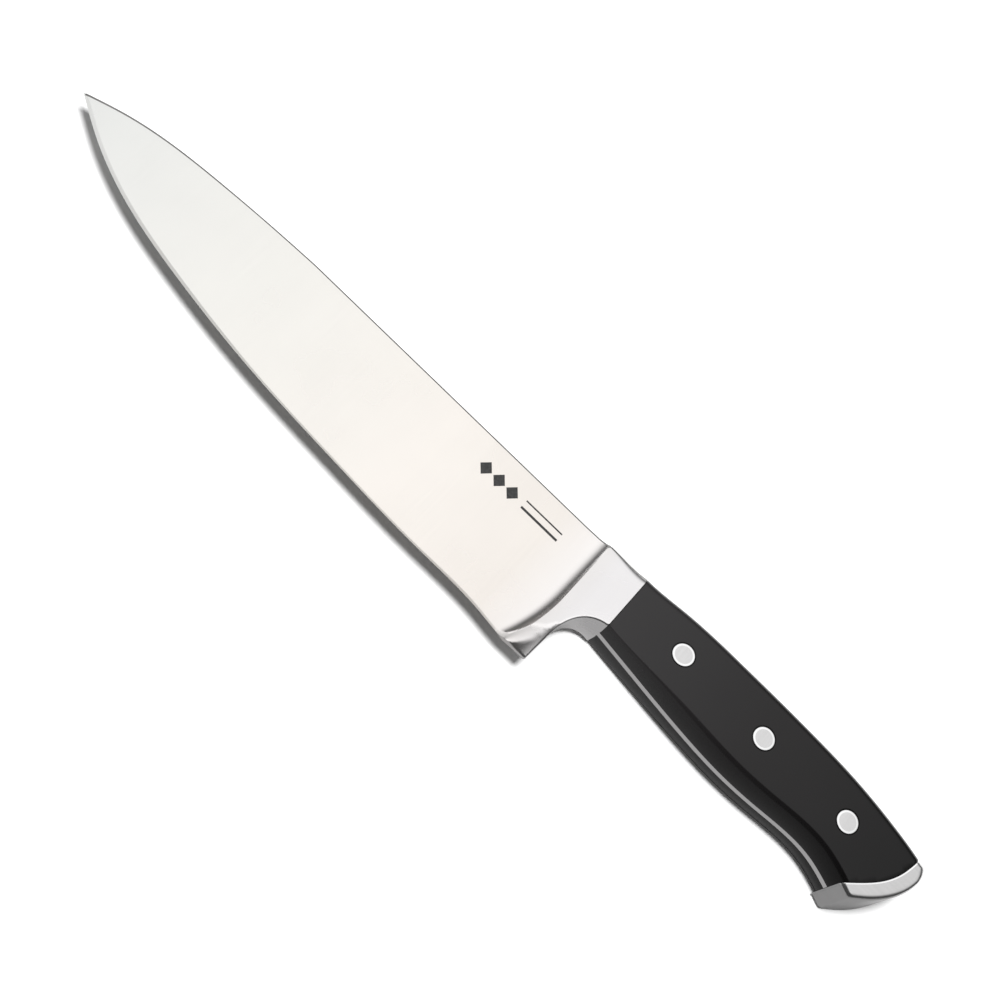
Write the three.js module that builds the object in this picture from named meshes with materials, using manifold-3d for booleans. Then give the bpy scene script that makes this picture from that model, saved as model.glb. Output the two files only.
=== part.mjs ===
// Forged 20 cm chef knife with a full tang, riveted scales and a steel butt cap. Millimetres, +Z up.
// It lies on its side: the tip points to -X, the butt to +X, the spine to +Y and the cutting edge to -Y.
// Every shape is drawn in the heel frame: x = 0, y = 0 is the heel's lower corner, z = 0 the middle plane.
import * as THREE from "three";
import { mergeVertices } from "three/addons/utils/BufferGeometryUtils.js";
import Module from "manifold-3d";

const wasm = await Module();
wasm.setup();

// ---- Driving dimensions ----
const BLADE_LENGTH = 204;
const BLADE_HEIGHT = 44.6;
const TIP_Y = 32.6;
const EDGE_LAND = 0.2; // half thickness just above the bevel, at the heel
const FACE_RISE = 0.0241; // growth of the half thickness per mm from edge to spine
const FACE_TAPER = 0.0012; // its loss per mm from heel to tip
const BEVEL_HEIGHT = 0.9;
const SPINE_ROUND = 0.8;
const TIP_GRIND = { start: -120, share: 0.55, power: 1.6 }; // the thinner grind towards the tip

const JUNCTION_X = 10.6; // where the bolster ends and the scales begin
const BOLSTER = { frontHalf: 3.2, rearHalf: 8, filletWidth: 4.4, filletRadius: 5.5 };
const BORDER = { x: -3.6, sweep: 4.2, height: 22 }; // the bolster's front line swings forward at its foot
// The hollow cut at the heel. Its reach is the height for each mm of extra half thickness, which shrinks
// towards the border and towards the handle.
const HEEL_FACET = { half: 0.9, reach: 3.7, shrinkAhead: 0.44, shrinkBehind: 0.2, highest: 17 };
const FINGER_NOTCH = { footX: 0.3, footY: 8, topY: 22, power: 2.3 };

const HANDLE_HALF = 9.5;
const SWELL_END_X = 45; // the handle reaches its full thickness here
const TOP_ROUND = 3.5;
const BELLY_ROUND = { front: 0.5, growth: 2.2, endX: 55 };
const TANG_HALF = 1.2;
const TANG_INSET = 0.1;
const CAP_HALF = 9.45;
const CAP_FIT = 0.1;
const CAP_ROUND = { belly: 1.6, end: 1.4 };
const BUTT_FOOT_Y = 12.3;
const SEAM_LENGTH = 29;
const CAP_CORNER = { startY: 33.4, control: [125.9, 37.4], endX: 123.2 }; // the butt's rounded top corner

const RIVETS = [[32.2, 31.7], [64.9, 30], [98.3, 29.4]];
const ABOVE = 12; // a height clear of the handle, for drills and rivet blanks
const RIVET = { head: 3.5, headDepth: 2, barrel: 2.5, pin: 1.5, bore: 1.55, hole: 0.05, facets: 32 };

// ---- Colours ----
const steel = { color: 0xdedcd9, roughness: 0.3, metalness: 1 };
const cap = { color: 0xc9c8c6, roughness: 0.35, metalness: 1 };
const plastic = { color: 0x2b2a2b, roughness: 0.45, metalness: 0 };
const rivetSteel = { color: 0xdcdcdc, roughness: 0.35, metalness: 1 };

// ---- Outlines, as smooth lines y(x) ----

// The natural cubic spline through the points [x, y], with x increasing.
function smoothLine(points) {
  const last = points.length - 1;
  const curvature = new Array(last + 1).fill(0);
  const factor = new Array(last + 1).fill(0);
  const gap = (i) => points[i + 1][0] - points[i][0];
  const slope = (i) => (points[i + 1][1] - points[i][1]) / gap(i);
  for (let i = 1; i < last; i++) {
    const pivot = 2 * (gap(i - 1) + gap(i)) - gap(i - 1) * factor[i - 1];
    factor[i] = gap(i) / pivot;
    curvature[i] = (6 * (slope(i) - slope(i - 1)) - gap(i - 1) * curvature[i - 1]) / pivot;
  }
  for (let i = last - 1; i > 0; i--) curvature[i] -= factor[i] * curvature[i + 1];
  return (x) => {
    let i = 0;
    while (i < last - 1 && x > points[i + 1][0]) i++;
    const right = (x - points[i][0]) / gap(i);
    const left = 1 - right;
    const bend = (left ** 3 - left) * curvature[i] + (right ** 3 - right) * curvature[i + 1];
    return left * points[i][1] + right * points[i + 1][1] + (bend * gap(i) ** 2) / 6;
  };
}

const spineCurve = smoothLine([
  [-BLADE_LENGTH, TIP_Y], [-192, 36.9], [-174, 40.8], [-157, 42.6], [-140, 43.8], [-122, BLADE_HEIGHT],
]);
const topCurve = smoothLine([
  [-12, BLADE_HEIGHT], [-4, 44.6], [3.5, 43.7], [10.6, 43.1], [25, 43.8], [43, 43.95], [60, 43.85],
  [77, 43.5], [94, 42.55], [111, 40.2], [119, 38.6], [128, 36.2],
]);
const edgeCurve = smoothLine([
  [-BLADE_LENGTH, TIP_Y], [-191, 24.8], [-172, 16.8], [-145.5, 10.6], [-111, 5.7], [-77, 3.3],
  [-43.5, 1.9], [-18.2, 1.1], [-9.8, 0.1], [-7.8, 0],
]);
const bellyCurve = smoothLine([
  [10.6, 22.1], [25, 20.2], [46, 17.6], [63, 16.4], [76, 16.8], [88.6, 17.7], [97, 17.2], [105, 14.9],
  [111.2, 12.3],
]);
// The cap's two long lines are x(y): where the scales end, and the butt itself.
const scaleEnd = smoothLine([
  [13.4, 106.1], [15.6, 108.5], [22.2, 115.2], [28.3, 119.1], [35.6, 121.2], [38.2, 121.7],
]);
const buttLine = smoothLine([
  [12.3, 111.2], [16, 115.9], [21.2, 120.8], [26.3, 123.9], [31.4, 125.4], [34.4, 125.7],
]);

function topLine(x) {
  if (x > -12) return topCurve(x);
  return x < -122 ? spineCurve(x) : BLADE_HEIGHT;
}

// The front line of the bolster.
function borderX(y) {
  const low = Math.max(0, 1 - y / BORDER.height);
  return BORDER.x - BORDER.sweep * low * low;
}

// A point of the finger notch's outline, a quarter of a superellipse, at 0 (foot) to 1 (handle).
function notchPoint(t) {
  const angle = (t * Math.PI) / 2;
  const exponent = 2 / FINGER_NOTCH.power;
  const { footX, footY, topY } = FINGER_NOTCH;
  return [
    JUNCTION_X - (JUNCTION_X - footX) * Math.max(0, Math.cos(angle)) ** exponent,
    footY + (topY - footY) * Math.sin(angle) ** exponent,
  ];
}

const smoothStep = (low, high, x) => THREE.MathUtils.smoothstep(x, low, high);
const mix = THREE.MathUtils.lerp;

// ---- Half thicknesses ----

// The flat-ground blade: one true plane from the heel to TIP_GRIND.start, then thinner to the tip.
function bladeHalf(x, y) {
  const plane = EDGE_LAND + FACE_RISE * (y - 1) + FACE_TAPER * (x + 8);
  const towardsTip = Math.max(0, (TIP_GRIND.start - x) / (BLADE_LENGTH + TIP_GRIND.start));
  return plane * (1 - TIP_GRIND.share * towardsTip ** TIP_GRIND.power);
}

function facetReach(x) {
  const { reach, shrinkAhead, shrinkBehind } = HEEL_FACET;
  return Math.max(0.15, reach - shrinkAhead * Math.max(-x, 0) - shrinkBehind * Math.max(x, 0));
}

// The forging ahead of the handle, before the heel is cut: blade, hollow fillet and wedge-shaped bolster.
function uncutHalf(x, y) {
  const border = borderX(y);
  if (x >= border) {
    return mix(BOLSTER.frontHalf, BOLSTER.rearHalf, (x - border) / (JUNCTION_X - border));
  }
  const into = Math.max(0, x - border + BOLSTER.filletWidth);
  const sagitta = (length) => BOLSTER.filletRadius - Math.sqrt(BOLSTER.filletRadius ** 2 - length ** 2);
  const climb = sagitta(into) / sagitta(BOLSTER.filletWidth);
  return bladeHalf(x, y) + (BOLSTER.frontHalf - bladeHalf(border, y)) * climb;
}

function forgedHalf(x, y) {
  return Math.min(HEEL_FACET.half + y / facetReach(x), uncutHalf(x, y));
}

const handleHalf = (x) => mix(BOLSTER.rearHalf, HANDLE_HALF, smoothStep(JUNCTION_X, SWELL_END_X, x));
const bellyRound = (x) => {
  return BELLY_ROUND.front + BELLY_ROUND.growth * smoothStep(JUNCTION_X, BELLY_ROUND.endX, x);
};

// The radius of the rounded edge along the spine, growing to the handle's over the bolster.
const topRound = (x) => mix(SPINE_ROUND, TOP_ROUND, smoothStep(-8, JUNCTION_X, x));

// ---- Meshes ----

// A closed solid from columns of point pairs. Each pair is [outer, inner]; the outer points make one side
// of the solid and the inner points the other. Points that coincide are merged.
function loft(columns) {
  const positions = [];
  const known = new Map();
  const vertex = (point) => {
    const key = point.map((value) => Math.round(value * 1e4)).join();
    if (!known.has(key)) {
      known.set(key, positions.length / 3);
      positions.push(...point);
    }
    return known.get(key);
  };
  const rings = columns.map((pairs) => [
    ...pairs.map((pair) => vertex(pair[0])),
    ...pairs.map((pair) => vertex(pair[1])).reverse(),
  ]);
  const index = [];
  const triangle = (a, b, c) => {
    if (a !== b && b !== c && c !== a) index.push(a, b, c);
  };
  const quad = (a, b, c, d) => {
    triangle(a, b, c);
    triangle(a, c, d);
  };
  const size = rings[0].length;
  for (let i = 0; i + 1 < rings.length; i++) {
    for (let j = 0; j < size; j++) {
      const next = (j + 1) % size;
      quad(rings[i][j], rings[i + 1][j], rings[i + 1][next], rings[i][next]);
    }
  }
  const ladder = (ring, flip) => {
    for (let j = 0; j + 1 < size / 2; j++) {
      const rung = [ring[j], ring[j + 1], ring[size - 2 - j], ring[size - 1 - j]];
      quad(...(flip ? rung.reverse() : rung));
    }
  };
  ladder(rings[0], false);
  ladder(rings[rings.length - 1], true);
  const geometry = new THREE.BufferGeometry();
  geometry.setAttribute("position", new THREE.Float32BufferAttribute(positions, 3));
  geometry.setIndex(index);
  return geometry;
}

// A closed geometry as a solid that can be cut.
function solidOf(geometry) {
  const bare = geometry.clone();
  bare.deleteAttribute("normal");
  bare.deleteAttribute("uv");
  const merged = mergeVertices(bare, 1e-4);
  const vertProperties = new Float32Array(merged.attributes.position.array);
  const triVerts = new Uint32Array(merged.index.array);
  return new wasm.Manifold(new wasm.Mesh({ numProp: 3, vertProperties, triVerts }));
}

function geometryOf(solid) {
  const { vertProperties, triVerts } = solid.getMesh();
  const geometry = new THREE.BufferGeometry();
  geometry.setAttribute("position", new THREE.BufferAttribute(new Float32Array(vertProperties), 3));
  geometry.setIndex(new THREE.BufferAttribute(new Uint32Array(triVerts), 1));
  return geometry;
}

function meshOf(name, geometry, look) {
  const shown = geometry.toNonIndexed();
  shown.computeVertexNormals();
  const mesh = new THREE.Mesh(shown, new THREE.MeshStandardMaterial(look));
  mesh.name = name;
  return mesh;
}

// A turned solid about the z axis at one rivet's centre, from a profile of [radius, z].
function turned(profile, centre) {
  const points = profile.map(([radius, z]) => new THREE.Vector2(radius, z));
  const geometry = new THREE.LatheGeometry(points, RIVET.facets);
  geometry.rotateX(Math.PI / 2);
  geometry.translate(centre[0], centre[1], 0);
  return solidOf(geometry);
}

// Where a column x(y) meets a line y(x).
function meet(columnX, lineY, start) {
  let x = start;
  for (let i = 0; i < 30; i++) x = columnX(lineY(x));
  return [x, lineY(x)];
}

// ---- The forging: blade, bolster and tang ----

// One column of the blade or bolster, from the edge to the spine, both sides at once.
function forgedColumn(columnX, foot) {
  const spread = [0.1, 0.2, 0.32, 0.46, 0.62, 0.8, 1];
  const footX = foot[0];
  const sharp = 1 - smoothStep(-11.5, -BORDER.sweep + BORDER.x, footX);
  const bevel = BEVEL_HEIGHT * sharp;
  const top = meet(columnX, topLine, columnX(BLADE_HEIGHT))[1];
  const low = Math.min(foot[1] + bevel, top);
  let crease = low;
  for (let i = 0; i < 40; i++) {
    const x = columnX(crease);
    const cut = (uncutHalf(x, crease) - HEEL_FACET.half) * facetReach(x);
    crease = Math.max(low, Math.min(cut, HEEL_FACET.highest));
  }
  if (footX < -BORDER.sweep + BORDER.x - BOLSTER.filletWidth) crease = mix(low, top, 0.12);
  const half = (y) => forgedHalf(columnX(y), y);
  const round = Math.min(topRound(columnX(top)), 0.8 * half(top), (top - low) / 4);
  const heights = [low, mix(low, crease, 0.5), crease];
  heights.push(...spread.map((share) => mix(crease, top - round, share)));
  const side = heights.map((y) => [columnX(y), y, half(y)]);
  side.unshift([footX, foot[1], half(low) * (1 - sharp)]);
  for (const degrees of [22.5, 45, 67.5, 90]) {
    const angle = THREE.MathUtils.degToRad(degrees);
    const y = top - round * (1 - Math.sin(angle));
    side.push([columnX(y), y, half(y) - round * (1 - Math.cos(angle))]);
  }
  return side.map(([x, y, z]) => [[x, y, z], [x, y, -z]]);
}

function bladeColumns() {
  const straight = [
    -202.8, -200, -196, -191, -185, -178, -170, -160, -150, -140, -130, -120, -100, -80, -60, -45, -30,
  ];
  const columns = straight.map((x) => forgedColumn(() => x, [x, edgeCurve(x)]));
  const tip = [-BLADE_LENGTH, TIP_Y, 0];
  columns.unshift(columns[0].map(() => [tip, tip]));
  // Between the straight columns and the fillet, one column is half way; the fillet's own follow the border.
  const lastStraight = straight[straight.length - 1];
  const bending = [(y) => mix(lastStraight, borderX(y) - BOLSTER.filletWidth, 0.5)];
  for (const ahead of [BOLSTER.filletWidth, 3.6, 2.8, 2.1, 1.5, 0.9, 0.4, 0]) {
    bending.push((y) => borderX(y) - ahead);
  }
  const foot = (columnX) => meet(columnX, edgeCurve, columnX(0));
  return [...columns, ...bending.map((columnX) => forgedColumn(columnX, foot(columnX)))];
}

function bolsterColumns() {
  const ahead = [0.25, 0.5, 0.75, 1].map((share) => {
    const columnX = (y) => borderX(y) * (1 - share);
    return forgedColumn(columnX, [columnX(0), 0]);
  });
  const steps = 9;
  const behind = Array.from({ length: steps + 1 }, (_, i) => {
    const foot = notchPoint(i / steps);
    return forgedColumn(() => foot[0], foot);
  });
  return [...ahead, ...behind];
}

// The tang: a flat plate of the handle's outline, let into the bolster in front.
function tang() {
  const shape = new THREE.Shape();
  const front = 9.4;
  const steps = 28;
  const rear = (y) => scaleEnd(y) - CAP_FIT;
  const low = meet(rear, (x) => bellyCurve(x) + TANG_INSET, 106);
  const high = meet(rear, (x) => topLine(x) - TANG_INSET, 121);
  const foot = notchPoint(1);
  shape.moveTo(front, 24);
  shape.lineTo(JUNCTION_X - 0.2, foot[1] + TANG_INSET);
  for (let i = 0; i < steps; i++) {
    const x = mix(JUNCTION_X, low[0], i / steps);
    shape.lineTo(x, bellyCurve(x) + TANG_INSET);
  }
  for (let i = 0; i <= 10; i++) {
    const y = mix(low[1], high[1], i / 10);
    shape.lineTo(rear(y), y);
  }
  for (let i = 1; i <= steps; i++) {
    const x = mix(high[0], JUNCTION_X, i / steps);
    shape.lineTo(x, topLine(x) - TANG_INSET);
  }
  shape.lineTo(front, 41.5);
  const geometry = new THREE.ExtrudeGeometry(shape, { depth: 2 * TANG_HALF, bevelEnabled: false });
  geometry.translate(0, 0, -TANG_HALF);
  return solidOf(geometry);
}

function forgedBlade() {
  let forging = solidOf(loft([...bladeColumns(), ...bolsterColumns()])).add(tang());
  const radius = RIVET.barrel + RIVET.hole;
  for (const centre of RIVETS) {
    forging = forging.subtract(turned([[0, -3], [radius, -3], [radius, 3], [0, 3]], centre));
  }
  return meshOf("forged_blade", geometryOf(forging), steel);
}

// ---- The scales ----

// One column of a scale from the belly to the top: a quarter ellipse, the flat face, a rounded corner.
function scaleColumn(columnX, innerZ) {
  const start = columnX(25);
  const points = [];
  const bellySteps = 6;
  for (let i = 0; i <= bellySteps; i++) {
    const angle = (i / bellySteps) * (Math.PI / 2);
    const line = (x) => bellyCurve(x) + bellyRound(x) * (1 - Math.cos(angle));
    const [x, y] = meet(columnX, line, start);
    points.push([x, y, mix(TANG_HALF, handleHalf(x), Math.sin(angle))]);
  }
  const topPoints = [];
  const topSteps = 4;
  for (let i = 0; i <= topSteps; i++) {
    const angle = (i / topSteps) * (Math.PI / 2);
    const [x, y] = meet(columnX, (value) => topLine(value) - TOP_ROUND * (1 - Math.cos(angle)), start);
    topPoints.unshift([x, y, handleHalf(x) - TOP_ROUND * (1 - Math.sin(angle))]);
  }
  const low = points[points.length - 1][1];
  const high = topPoints[0][1];
  for (const share of [0.33, 0.67]) {
    const y = mix(low, high, share);
    points.push([columnX(y), y, handleHalf(columnX(y))]);
  }
  return [...points, ...topPoints].map(([x, y, z]) => [[x, y, z], [x, y, innerZ]]);
}

function scaleSolid(innerZ) {
  const front = JUNCTION_X + CAP_FIT;
  const straight = [front, 14, 18, 22, 27, 33, 39, SWELL_END_X, 53, 61, 69, 77, 85, 90, 95];
  const columns = straight.map((x) => scaleColumn(() => x, innerZ));
  for (const share of [0.34, 0.67, 1]) {
    columns.push(scaleColumn((y) => mix(95, scaleEnd(y), share), innerZ));
  }
  return solidOf(loft(columns));
}

// Everything below the scale's outer surface, for grinding rivet heads flush with it.
const flushEnvelope = scaleSolid(-1.2 * HANDLE_HALF);
const upperScale = drilledScale();

function drilledScale() {
  let scale = scaleSolid(TANG_HALF);
  for (const centre of RIVETS) {
    const seat = handleHalf(centre[0]) - RIVET.headDepth - RIVET.hole;
    const wide = RIVET.head + RIVET.hole;
    const narrow = RIVET.barrel + RIVET.hole;
    const drill = [[0, -3], [narrow, -3], [narrow, seat], [wide, seat], [wide, ABOVE], [0, ABOVE]];
    scale = scale.subtract(turned(drill, centre));
  }
  return scale;
}

// ---- The rivets: a headed pin pressed into a headed barrel ----

function rivetPin(centre) {
  const seat = handleHalf(centre[0]) - RIVET.headDepth;
  const { pin, head } = RIVET;
  const profile = [[0, -5], [pin, -5], [pin, seat], [head, seat], [head, ABOVE], [0, ABOVE]];
  return turned(profile, centre).intersect(flushEnvelope);
}

function rivetBarrel(centre) {
  const seat = handleHalf(centre[0]) - RIVET.headDepth;
  const { bore, barrel, head } = RIVET;
  const inside = [[0, -5.5], [bore, -5.5], [bore, 6]];
  const outside = [[barrel, 6], [barrel, -seat], [head, -seat], [head, -ABOVE], [0, -ABOVE]];
  return turned([...inside, ...outside].reverse(), centre).intersect(flushEnvelope.mirror([0, 0, 1]));
}

// ---- The butt cap ----

// How far a rounded rim has dropped at a distance in from it.
function rimDrop(inside, radius) {
  const t = Math.min(1, inside / radius);
  return radius * (1 - Math.sqrt(1 - (1 - t) ** 2));
}

// A point of the butt's outline at 0 (belly corner) to 1 (top): the butt line, then the rounded corner.
function buttPoint(along) {
  const bend = 0.87;
  const { startY, control, endX } = CAP_CORNER;
  if (along <= bend) {
    const y = mix(BUTT_FOOT_Y, startY, along / bend);
    return [buttLine(y), y];
  }
  const t = (along - bend) / (1 - bend);
  const start = [buttLine(startY), startY];
  const end = [endX, topLine(endX)];
  return [0, 1].map((k) => (1 - t) ** 2 * start[k] + 2 * t * (1 - t) * control[k] + t ** 2 * end[k]);
}

// One column of the cap, from the scales' end out to the butt, at 0 (belly corner) to 1 (top corner).
function capColumn(along) {
  const seam = (y) => scaleEnd(y) + CAP_FIT;
  const low = meet(seam, bellyCurve, 106)[1];
  const high = meet(seam, topLine, 121)[1];
  const innerY = mix(low, high, along);
  const inner = [seam(innerY), innerY];
  const outer = buttPoint(along);
  const width = Math.hypot(outer[0] - inner[0], outer[1] - inner[1]);
  const bellyDrop = rimDrop(along * SEAM_LENGTH, CAP_ROUND.belly);
  const topDrop = rimDrop((1 - along) * SEAM_LENGTH, TOP_ROUND);
  const arc = [1, 0.8, 0.6, 0.4, 0.25, 0.12, 0.04, 0].map((share) => 1 - (share * CAP_ROUND.end) / width);
  return [0, arc[0] / 2, ...arc].map((share) => {
    const x = mix(inner[0], outer[0], share);
    const y = mix(inner[1], outer[1], share);
    const z = CAP_HALF - bellyDrop - topDrop - rimDrop((1 - share) * width, CAP_ROUND.end);
    return [[x, y, z], [x, y, -z]];
  });
}

function buttCap() {
  const stations = [
    0, 0.005, 0.015, 0.03, 0.055, 0.12, 0.22, 0.34, 0.46, 0.58, 0.7, 0.8, 0.88,
    0.905, 0.93, 0.95, 0.97, 0.985, 0.995, 1,
  ];
  const geometry = loft(stations.map(capColumn).reverse());
  return meshOf("butt_cap", geometry, cap);
}

// ---- Assembly ----

const knife = new THREE.Group();
knife.add(forgedBlade());
knife.add(meshOf("scale_right", geometryOf(upperScale), plastic));
knife.add(meshOf("scale_left", geometryOf(upperScale.mirror([0, 0, 1])), plastic));
knife.add(buttCap());
RIVETS.forEach((centre, i) => {
  knife.add(meshOf(`rivet_pin_${i + 1}`, geometryOf(rivetPin(centre)), rivetSteel));
  knife.add(meshOf(`rivet_barrel_${i + 1}`, geometryOf(rivetBarrel(centre)), rivetSteel));
});

// The origin is the middle of the knife's underside as it lies.
const box = new THREE.Box3().setFromObject(knife);
knife.position.set(-(box.min.x + box.max.x) / 2, -(box.min.y + box.max.y) / 2, -box.min.z);

export default knife;
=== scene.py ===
import math

import bpy
import numpy as np
from mathutils import Matrix, Vector
from mathutils.geometry import delaunay_2d_cdt


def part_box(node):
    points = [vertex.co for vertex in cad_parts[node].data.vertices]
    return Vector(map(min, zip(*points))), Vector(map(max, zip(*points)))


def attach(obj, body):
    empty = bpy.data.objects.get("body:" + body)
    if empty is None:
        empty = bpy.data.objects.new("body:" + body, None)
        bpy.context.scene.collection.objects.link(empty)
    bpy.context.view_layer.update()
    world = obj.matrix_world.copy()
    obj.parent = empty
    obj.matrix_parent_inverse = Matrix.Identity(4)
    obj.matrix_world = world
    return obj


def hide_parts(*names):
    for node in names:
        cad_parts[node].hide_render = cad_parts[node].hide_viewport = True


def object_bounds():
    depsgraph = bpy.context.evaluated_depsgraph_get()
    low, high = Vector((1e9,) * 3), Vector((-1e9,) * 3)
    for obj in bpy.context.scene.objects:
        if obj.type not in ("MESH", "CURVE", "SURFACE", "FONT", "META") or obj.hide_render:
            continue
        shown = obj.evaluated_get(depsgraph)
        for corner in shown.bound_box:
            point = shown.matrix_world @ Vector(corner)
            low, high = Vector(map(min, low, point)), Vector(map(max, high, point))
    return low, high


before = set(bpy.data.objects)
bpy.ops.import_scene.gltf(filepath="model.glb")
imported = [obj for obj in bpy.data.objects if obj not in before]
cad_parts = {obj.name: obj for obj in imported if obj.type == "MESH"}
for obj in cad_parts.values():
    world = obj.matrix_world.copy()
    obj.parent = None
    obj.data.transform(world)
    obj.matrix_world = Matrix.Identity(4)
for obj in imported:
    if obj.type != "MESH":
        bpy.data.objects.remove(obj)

cad_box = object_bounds()

# The shapes are worked out in millimetres in the heel frame: x = 0, y = 0 is the heel's lower corner,
# z = 0 the middle plane, -X the tip, +X the butt, +Y the spine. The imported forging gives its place.
MM = 0.001
BLADE_LENGTH = 204
forged_low, forged_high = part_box("forged_blade")
HEEL = np.array([
    forged_low.x + BLADE_LENGTH * MM,
    forged_low.y,
    (forged_low.z + forged_high.z) / 2,
])

# ---- Driving dimensions, in millimetres ----
BLADE_HEIGHT = 44.6
TIP_Y = 32.6
EDGE_LAND = 0.2
FACE_RISE = 0.0241
FACE_TAPER = 0.0012
EDGE_HALF = 0.012  # half thickness of the cutting edge itself
EDGE_SLOPE = 0.268  # a 15 degree bevel on each side
SPINE_ROUND = 0.8
SPINE_REFLECTION_WIDTH = 0.85  # width of the spine's painted dark band, a painted dark reflection, for a rounding of 1 mm
EDGE_END_X = -7.8  # where the edge ends and the heel's flat begins
TIP_GRIND_START = -120
TIP_GRIND_SHARE = 0.55
TIP_GRIND_POWER = 1.6

JUNCTION_X = 10.6
BOLSTER_FRONT = 3.2
BOLSTER_REAR = 8.0
BOLSTER_ROUND = 0.7
FILLET_WIDTH = 4.4
FILLET_RADIUS = 5.5
BORDER_X = -3.6
BORDER_SWEEP = 4.2
BORDER_HEIGHT = 22
HEEL_HALF = 0.9  # half thickness at the heel's lower corner
HEEL_REACH = 3.7  # mm of height for each mm of extra half thickness, at x = 0
REACH_AHEAD = 0.44  # how fast the reach shrinks towards the border
REACH_BEHIND = 0.2  # and towards the handle
HEEL_CORNER = 0.6
LIP_START = -11.5

NOTCH_FOOT = (0.3, 8)
NOTCH_TOP = 22
NOTCH_POWER = 2.3

HANDLE_HALF = 9.5
SWELL_END_X = 45
TOP_ROUND = 3.5
BELLY_FRONT = 0.5
BELLY_GROWTH = 2.2
BELLY_END_X = 55
TANG_HALF = 1.2
TANG_INSET = 0.06
CAP_HALF = 9.45
CAP_FIT = 0.1
CAP_ROUND_BELLY = 1.6
CAP_ROUND_END = 1.4
BUTT_FOOT_X = 111.2
BUTT_FOOT_Y = 12.3
REAR_LOW_X = 106  # first guesses for where the scales' rear end meets the belly
REAR_HIGH_X = 121  # and the top
CORNER_START_Y = 33.4  # the butt's rounded top corner
CORNER_CONTROL = (125.9, 37.4)
CORNER_END_X = 123.2
SCALE_FIT = 0.16
EDGE_BREAK = 0.15
HIGHLIGHT_SEAM_WIDTH = 0.5  # width of the cap's painted highlight along the scales

RIVETS = [(32.2, 31.7), (64.9, 30.0), (98.3, 29.4)]
RIVET_HEAD = 3.5
RIVET_DEPTH = 2.0
RIVET_BARREL = 2.5
RIVET_GAP = 0.05
SEAT_GAP = 0.12
SEAT_BREAK = 0.35
RIM_ROUND = 0.22
RIM_WIDTH = 0.75
RIM_RISE = 0.02
HEAD_SUNK = 0.03  # how far a head's rim lies below the scale's face

QUARTER = np.linspace(0, math.pi / 2, 12)[1:]  # the rows of a rounded edge


# ---- Outlines ----

def smooth_line(points):
    """The natural cubic spline through points (x, y), as a function of x."""
    x, y = np.array(points, float).T
    count = len(x)
    gap = np.diff(x)
    matrix, right_side = np.eye(count), np.zeros(count)
    for i in range(1, count - 1):
        matrix[i, i - 1:i + 2] = gap[i - 1], 2 * (gap[i - 1] + gap[i]), gap[i]
        right_side[i] = 6 * ((y[i + 1] - y[i]) / gap[i] - (y[i] - y[i - 1]) / gap[i - 1])
    curvature = np.linalg.solve(matrix, right_side)

    def line(at):
        at = np.asarray(at, float)
        i = np.clip(np.searchsorted(x, at) - 1, 0, count - 2)
        right = (at - x[i]) / gap[i]
        left = 1 - right
        bend = (left ** 3 - left) * curvature[i] + (right ** 3 - right) * curvature[i + 1]
        return left * y[i] + right * y[i + 1] + bend * gap[i] ** 2 / 6

    return line


spine_curve = smooth_line([
    (-BLADE_LENGTH, TIP_Y), (-192, 36.9), (-174, 40.8), (-157, 42.6), (-140, 43.8), (-122, BLADE_HEIGHT),
])
top_curve = smooth_line([
    (-12, BLADE_HEIGHT), (-4, 44.6), (3.5, 43.7), (10.6, 43.1), (25, 43.8), (43, 43.95), (60, 43.85),
    (77, 43.5), (94, 42.55), (111, 40.2), (119, 38.6), (128, 36.2),
])
edge_line = smooth_line([
    (-BLADE_LENGTH, TIP_Y), (-191, 24.8), (-172, 16.8), (-145.5, 10.6), (-111, 5.7), (-77, 3.3),
    (-43.5, 1.9), (-18.2, 1.1), (-9.8, 0.1), (EDGE_END_X, 0),
])
belly_line = smooth_line([
    (10.6, 22.1), (25, 20.2), (46, 17.6), (63, 16.4), (76, 16.8), (88.6, 17.7), (97, 17.2), (105, 14.9),
    (BUTT_FOOT_X, BUTT_FOOT_Y),
])
scale_end = smooth_line([
    (13.4, 106.1), (15.6, 108.5), (22.2, 115.2), (28.3, 119.1), (35.6, 121.2), (38.2, 121.7),
])
butt_line = smooth_line([
    (BUTT_FOOT_Y, BUTT_FOOT_X), (16, 115.9), (21.2, 120.8), (26.3, 123.9), (31.4, 125.4), (34.4, 125.7),
])


def top_line(x):
    x = np.asarray(x, float)
    ahead = np.where(x < -122, spine_curve(x), BLADE_HEIGHT)
    return np.where(x > -12, top_curve(x), ahead)


def border_x(y):
    """The front line of the bolster."""
    low = np.maximum(0, 1 - np.asarray(y, float) / BORDER_HEIGHT)
    return BORDER_X - BORDER_SWEEP * low ** 2


def notch(t):
    """The finger notch, a quarter of a superellipse, from its foot (0) to the handle (1)."""
    angle = np.asarray(t, float) * math.pi / 2
    power = 2 / NOTCH_POWER
    x = JUNCTION_X - (JUNCTION_X - NOTCH_FOOT[0]) * np.maximum(0, np.cos(angle)) ** power
    y = NOTCH_FOOT[1] + (NOTCH_TOP - NOTCH_FOOT[1]) * np.sin(angle) ** power
    return np.column_stack([x, y])


def smooth_step(low, high, x):
    t = np.clip((np.asarray(x, float) - low) / (high - low), 0, 1)
    return t * t * (3 - 2 * t)


def mix(a, b, t):
    return a + (b - a) * t


def meet(column, line, start):
    """Where a column x(y) meets a line y(x)."""
    x = start
    for _ in range(40):
        x = float(column(line(x)))
    return x, float(line(x))


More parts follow.
